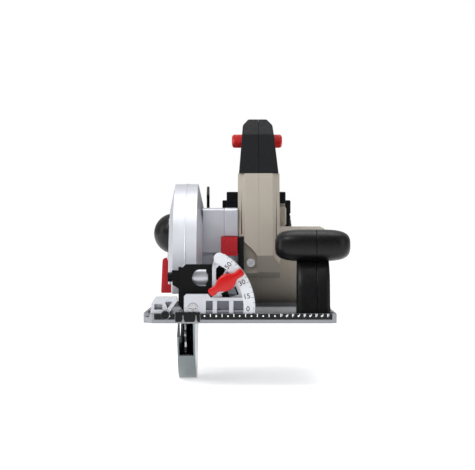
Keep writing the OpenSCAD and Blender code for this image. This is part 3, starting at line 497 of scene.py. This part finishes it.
for side, name, node in ((-1, "front_knob_left", "aux_handle_left"),
                         (1, "front_knob_right", "aux_handle_right")):
    shell = front_handle()
    slice_off(shell, (KNOB_SEAM + side * KNOB_GAP, 0, 0), (-side, 0, 0))
    half = piece(name, shell, "base", "black_plastic")
    soften(half, 0.45)
    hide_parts(node)

# ---- added pieces: saw ----


def prism(name, outline, x0, x1, slot, edge):
    """A piece of the saw from a side outline in Y and Z, as thick as x0 to x1, with broken edges."""
    bm = bmesh.new()
    loft(bm, [[(x, y, z) for y, z in outline] for x in (x0, x1)])
    soften(piece(name, bm, "saw", slot), edge)


FOOT_TOP = 116.8
BUMPER_TOP = FOOT_TOP + 0.25
prism("foot_bumper", [(47.6, 106), (61, 106), (61, 109.85), (150.3, 109.85), (150.3, BUMPER_TOP),
                      (47.6, BUMPER_TOP)], -12.4, 44.4, "black_rubber", 1.0)
prism("foot_bumper_side", [(47.7, 100), (60.8, 100), (60.8, 106.2), (47.7, 106.2)], -12.35, 0,
      "black_rubber", 0.6)
prism("column_side_strip", [(-64.5, 36.5), (-60.2, 36.5), (-60.2, 74), (-63.2, 74), (-64.5, 72)], -1.4, 3.7,
      "black_plastic", 0.5)
prism("foot_shoulder", [(46, 84), (58, 84), (58, 103), (46, 103)], 36, 45, "beige_plastic", 2.4)

ARBOR = (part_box("saw_blade")[0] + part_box("saw_blade")[1]) / 2 / MM
DEPTH_PIN = Vector((0, -117, 39))
TOOTH_PITCH = 15


def turn_about(centre, radius, degrees, x):
    """A point on a circle about an axis along X."""
    a = math.radians(degrees)
    return Vector((x, centre.y + radius * math.cos(a), centre.z + radius * math.sin(a)))


def turn_frame(centre, radius, degrees):
    """A frame at a point on a circle about an axis along X, with its Y pointing outwards."""
    at = turn_about(centre, radius, degrees, 0)
    return Matrix.Translation(at) @ Matrix.Rotation(math.radians(degrees), 4, "X")


def turned_section(centre, x0, x1, r0, r1, degrees):
    """The four corners of a rectangular section of something turned about an axis along X."""
    return [turn_about(centre, r, degrees, x) for x, r in ((x0, r0), (x1, r0), (x1, r1), (x0, r1))]


def guard_details(rib_steps=72):
    """The parting rib round the upper guard, and the screws of its window ring, with black crosses set in
    their heads as painted shade of the screw recesses.
    """
    rib, heads, slot_shade = bmesh.new(), bmesh.new(), bmesh.new()
    angles = [6 + (172 - 6) * k / rib_steps for k in range(rib_steps + 1)]
    loft(rib, [turned_section(ARBOR, -48.7, -47.5, 92, 93.45, a) for a in angles])
    soften(piece("guard_rib", rib, "saw", "cast_silver"), 0.2, turned=True)
    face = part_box("upper_guard")[0].x / MM
    for degrees in (62, 108, 154):
        at = turn_about(ARBOR, 61, degrees, 0)
        rod_x(heads, face - 1.3, face + 0.5, at.y, at.z, 3.3, 28)
        # Painted shade: black crosses sunk into each head stand in for the shade in the screw's cross
        # recess.
        for y, z in ((1.8, 0.45), (0.45, 1.8)):
            add_box(slot_shade, (face - 1.36, at.y - y, at.z - z), (face - 0.6, at.y + y, at.z + z))
    soften(piece("guard_screws", heads, "saw", "zinc_steel"), 0.5, 3)
    piece("guard_screw_slot_shade", slot_shade, "saw", "black_steel")


def blade_details(ring_steps=96):
    """Carbide tips brazed to the blade's teeth, and two ground rings on each of its faces."""
    low, high = (c.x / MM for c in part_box("saw_blade"))
    tips, ring = bmesh.new(), bmesh.new()
    for k in range(360 // TOOTH_PITCH):
        at = turn_frame(ARBOR, 82.4, (k + 0.04) * TOOTH_PITCH)
        add_box(tips, (low - 0.3, -4.6, -1.5), (high + 0.3, -0.5, 0.1), at)
    soften(piece("blade_tips", tips, "blade", "hardened_steel", CARBIDE), 0.12)
    angles = [k * 360 / ring_steps for k in range(ring_steps)]
    for x0, x1 in ((low - 0.05, low + 0.1), (high - 0.1, high + 0.05)):
        for r in (40, 50.5):
            loft(ring, [turned_section(ARBOR, x0, x1, r, r + 0.6, a) for a in angles], around=True)
    piece("blade_rings", ring, "blade", "blade_steel", CARBIDE)


def depth_marks():
    """White depth marks along the arc of the rear depth plate, on both faces."""
    bm = bmesh.new()
    for degrees in range(0, 25, 2):
        length = 4.4 if degrees % 4 == 0 else 2.6
        for x0, x1 in ((-31.62, -31.4), (-29.1, -28.88)):
            add_box(bm, (x0, -length, -0.3), (x1, 0, 0.3), turn_frame(DEPTH_PIN, 194.6, degrees))
    piece("depth_marks", bm, "bevel_frame", "scale_black", WHITE_INK)


def lock_details():
    """Four upright ribs on the spindle lock's head, and the channel that its bar slides in."""
    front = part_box("spindle_lock_button")[0].y / MM
    ribs, cover = bmesh.new(), bmesh.new()
    for k in range(4):
        x = -13.9 + 3.2 * k
        add_box(ribs, (x - 0.8, front - 0.35, 59.2), (x + 0.8, front + 1, 71.8))
    soften(piece("spindle_lock_ribs", ribs, "spindle_lock", "dark_red_plastic"), 0.25)
    channel = [(-21, -51.9), (-21, -57.6), (-13.8, -57.6), (-13.8, -51.9), (-14.9, -51.9), (-14.9, -56.5),
               (-19.9, -56.5), (-19.9, -51.9)]
    loft(cover, [[(x, y, z) for x, y in channel] for z in (26, 56.8)])
    soften(piece("lock_bar_cover", cover, "saw", "black_steel"), 0.3)


def battery_details():
    """Raised side panels on the battery, each with upright grip ribs."""
    low, high = (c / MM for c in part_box("battery_tub"))
    for name, side, x in (("left", -1, low.x), ("right", 1, high.x)):
        panel, ribs = bmesh.new(), bmesh.new()
        x0, x1 = sorted((x, x + 0.7 * side))
        add_box(panel, (x0, low.y + 9, low.z + 6), (x1, high.y - 9, high.z - 6))
        soften(piece(f"battery_panel_{name}", panel, "battery", "black_plastic"), 0.5)
        x0, x1 = sorted((x, x + 1.3 * side))
        for k in range(9):
            y = low.y + 16 + 8 * k
            add_box(ribs, (x0, y - 1.1, low.z + 9), (x1, y + 1.1, high.z - 9))
        soften(piece(f"battery_ribs_{name}", ribs, "battery", "black_rubber"), 0.5)


guard_details()
blade_details()
depth_marks()
lock_details()
battery_details()

# ---- added pieces: rear grip ----

GRIP_OUTLINE = [(-50, 131.55), (-10, 131.55), (-8, 140), (2, 146), (55.2, FOOT_TOP), (124, FOOT_TOP),
                (8, 181), (-12, 183), (-32, 168)]
GRIP_SEAM, GRIP_HALF = 17.4, 18
GRIP_FRAME = Matrix.Translation((0, 5, 163.5)) @ Matrix.Rotation(math.radians(-28.8), 4, "X")
GRIP_JOINTS_Z = (131.6, FOOT_TOP + 0.1)
SCREW_WELL_R = 3.35


def carve(bm, cutters):
    """What is left of a solid after each cutter has been taken out of it."""
    made = []
    for source in (bm, *cutters):
        bmesh.ops.recalc_face_normals(source, faces=source.faces)
        mesh = bpy.data.meshes.new("carve")
        source.to_mesh(mesh)
        source.free()
        obj = bpy.data.objects.new("carve", mesh)
        bpy.context.scene.collection.objects.link(obj)
        made.append(obj)
    for cutter in made[1:]:
        cut = made[0].modifiers.new("cut", "BOOLEAN")
        cut.operation, cut.solver, cut.object = "DIFFERENCE", "EXACT", cutter
    bpy.context.view_layer.update()
    mesh = bpy.data.meshes.new_from_object(made[0].evaluated_get(bpy.context.evaluated_depsgraph_get()))
    left = bmesh.new()
    left.from_mesh(mesh)
    bpy.data.meshes.remove(mesh)
    for obj in made:
        bpy.data.meshes.remove(obj.data)
    return left


def grip_block():
    """The whole grip: its side outline, narrowed upwards, with broad rounded edges."""
    bm = bmesh.new()
    loft(bm, [[(x, y, z) for y, z in GRIP_OUTLINE] for x in (GRIP_SEAM - GRIP_HALF, GRIP_SEAM + GRIP_HALF)])
    bmesh.ops.recalc_face_normals(bm, faces=bm.faces)
    for x, z, out_x, out_z in ((-18, 131.5, -45.5, 3.6), (-14.4, 177, -6, 5.2),
                               (18, 131.5, 45.5, 5), (13, 177, 6, 5.4)):
        slice_off(bm, (GRIP_SEAM + x, 0, z), (out_x, 0, out_z))
    bmesh.ops.recalc_face_normals(bm, faces=bm.faces)
    # The edges where the grip meets the column and the foot stay sharp.
    edges = [e for e in bm.edges if len(e.link_faces) == 2 and e.calc_face_angle() > math.radians(25)
             and not any(all(v.co.z < z for v in e.verts) and e.verts[0].co.z > z - 0.3
                         for z in GRIP_JOINTS_Z)]
    bmesh.ops.bevel(bm, geom=edges, offset=3.4, segments=5, profile=0.5, affect="EDGES", clamp_overlap=True)
    return bm


def grip_shells():
    """The two halves of the grip, open for the trigger, the lock-off button and the screws."""
    for name, node, x0, x1 in (("grip_shell_left", "grip_left", GRIP_SEAM - 0.1, 60),
                               ("grip_shell_right", "grip_right", -30, GRIP_SEAM + 0.1)):
        trigger, button, front_well, rear_well, other_side = cutters = [bmesh.new() for _ in range(5)]
        add_box(trigger, (9.6, 7.2, -26), (25.2, 32.8, -1))
        add_box(button, (-20, -5.4, -5.9), (60, 5.4, 5.9))
        for bm in (trigger, button):
            bm.transform(GRIP_FRAME)
        rod_x(front_well, 26, 50, -26, 158, SCREW_WELL_R, 32)
        rod_x(rear_well, 26, 50, 58, 134, SCREW_WELL_R, 32)
        add_box(other_side, (x0, -90, 90), (x1, 140, 200))
        half = piece(name, carve(grip_block(), cutters), "saw", "black_rubber")
        soften(half, 0.25)
        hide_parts(node)


grip_shells()

# ---- camera, floor and light ----


def stand_in_space(obj, at, target):
    """Puts a camera or light at a point in mm, looking at another."""
    bpy.context.scene.collection.objects.link(obj)
    obj.location = Vector(at) * MM
    obj.rotation_euler = (Vector(target) - Vector(at)).to_track_quat("-Z", "Y").to_euler()


EYE_X, EYE_Z, EYE_DISTANCE = -1.9, 75.5, 1645
camera = bpy.data.objects.new("camera", bpy.data.cameras.new("camera"))
camera.data.lens = 133.3
camera.data.sensor_width = 36
camera.data.clip_end = 50
stand_in_space(camera, (EYE_X, -EYE_DISTANCE, EYE_Z), (EYE_X, 0, EYE_Z))
bpy.context.scene.camera = camera


def soft_light(name, at, width, height, watts):
    """A rectangular soft box, aimed at the middle of the saw."""
    light = bpy.data.lights.new(name, "AREA")
    light.shape = "RECTANGLE"
    light.size = width * MM
    light.size_y = height * MM
    light.energy = watts
    stand_in_space(bpy.data.objects.new(name, light), at, (0, 0, 60))


soft_light("key", (-800, -1000, 1200), 800, 600, 11)
soft_light("overhead", (100, 150, 1500), 1300, 1100, 11)
soft_light("fill", (1400, -900, 500), 700, 900, 3)
soft_light("left_strip", (-1300, -200, 300), 250, 1100, 4)


def studio_world():
    """White to the camera; to the object, a room that is bright above and darker towards the floor."""
    world = bpy.data.worlds.new("studio")
    world.use_nodes = True
    tree = world.node_tree
    shown = tree.nodes["Background"]
    shown.inputs["Color"].default_value = (1, 1, 1, 1)
    shown.inputs["Strength"].default_value = 1.0
    room = tree.nodes.new("ShaderNodeBackground")
    coords = tree.nodes.new("ShaderNodeTexCoord")
    lean = tree.nodes.new("ShaderNodeVectorMath")
    lean.operation = "DOT_PRODUCT"
    lean.inputs[1].default_value = (-0.12, 0.3, 0.94)
    tree.links.new(coords.outputs["Generated"], lean.inputs[0])
    shade = ramp(tree, lean.outputs["Value"], (0.2, 0.205, 0.22), (0.82, 0.82, 0.82), 0.0, 0.8)
    tree.links.new(shade, room.inputs["Color"])
    room.inputs["Strength"].default_value = 0.85
    path = tree.nodes.new("ShaderNodeLightPath")
    mix = tree.nodes.new("ShaderNodeMixShader")
    tree.links.new(path.outputs["Is Camera Ray"], mix.inputs["Fac"])
    tree.links.new(room.outputs["Background"], mix.inputs[1])
    tree.links.new(shown.outputs["Background"], mix.inputs[2])
    tree.links.new(mix.outputs["Shader"], tree.nodes["World Output"].inputs["Surface"])
    return world


bpy.context.scene.world = studio_world()
bpy.context.scene.view_settings.view_transform = "Standard"


def make_floor():
    """A plain white paper floor just below the lowest point of the saw."""
    bm = bmesh.new()
    level = cad_box[0].z / MM - 0.1
    at = Matrix.Translation((0, 0, level))
    bmesh.ops.create_grid(bm, x_segments=1, y_segments=1, size=15000, matrix=at)
    bm.transform(Matrix.Scale(MM, 4))
    mesh = bpy.data.meshes.new("floor")
    bm.to_mesh(mesh)
    bm.free()
    floor = bpy.data.objects.new("floor", mesh)
    bpy.context.scene.collection.objects.link(floor)
    paper = surface("paper", (250, 250, 250), 0.9, 0.0, 0.01, 200, 0.05, 2.0, swing=0.02)
    shader = paper.node_tree.nodes["Principled BSDF"]
    shader.inputs["Emission Color"].default_value = (1, 1, 1, 1)
    shader.inputs["Emission Strength"].default_value = 0.52
    shader.inputs["Specular IOR Level"].default_value = 0.0
    mesh.materials.append(paper)


make_floor()
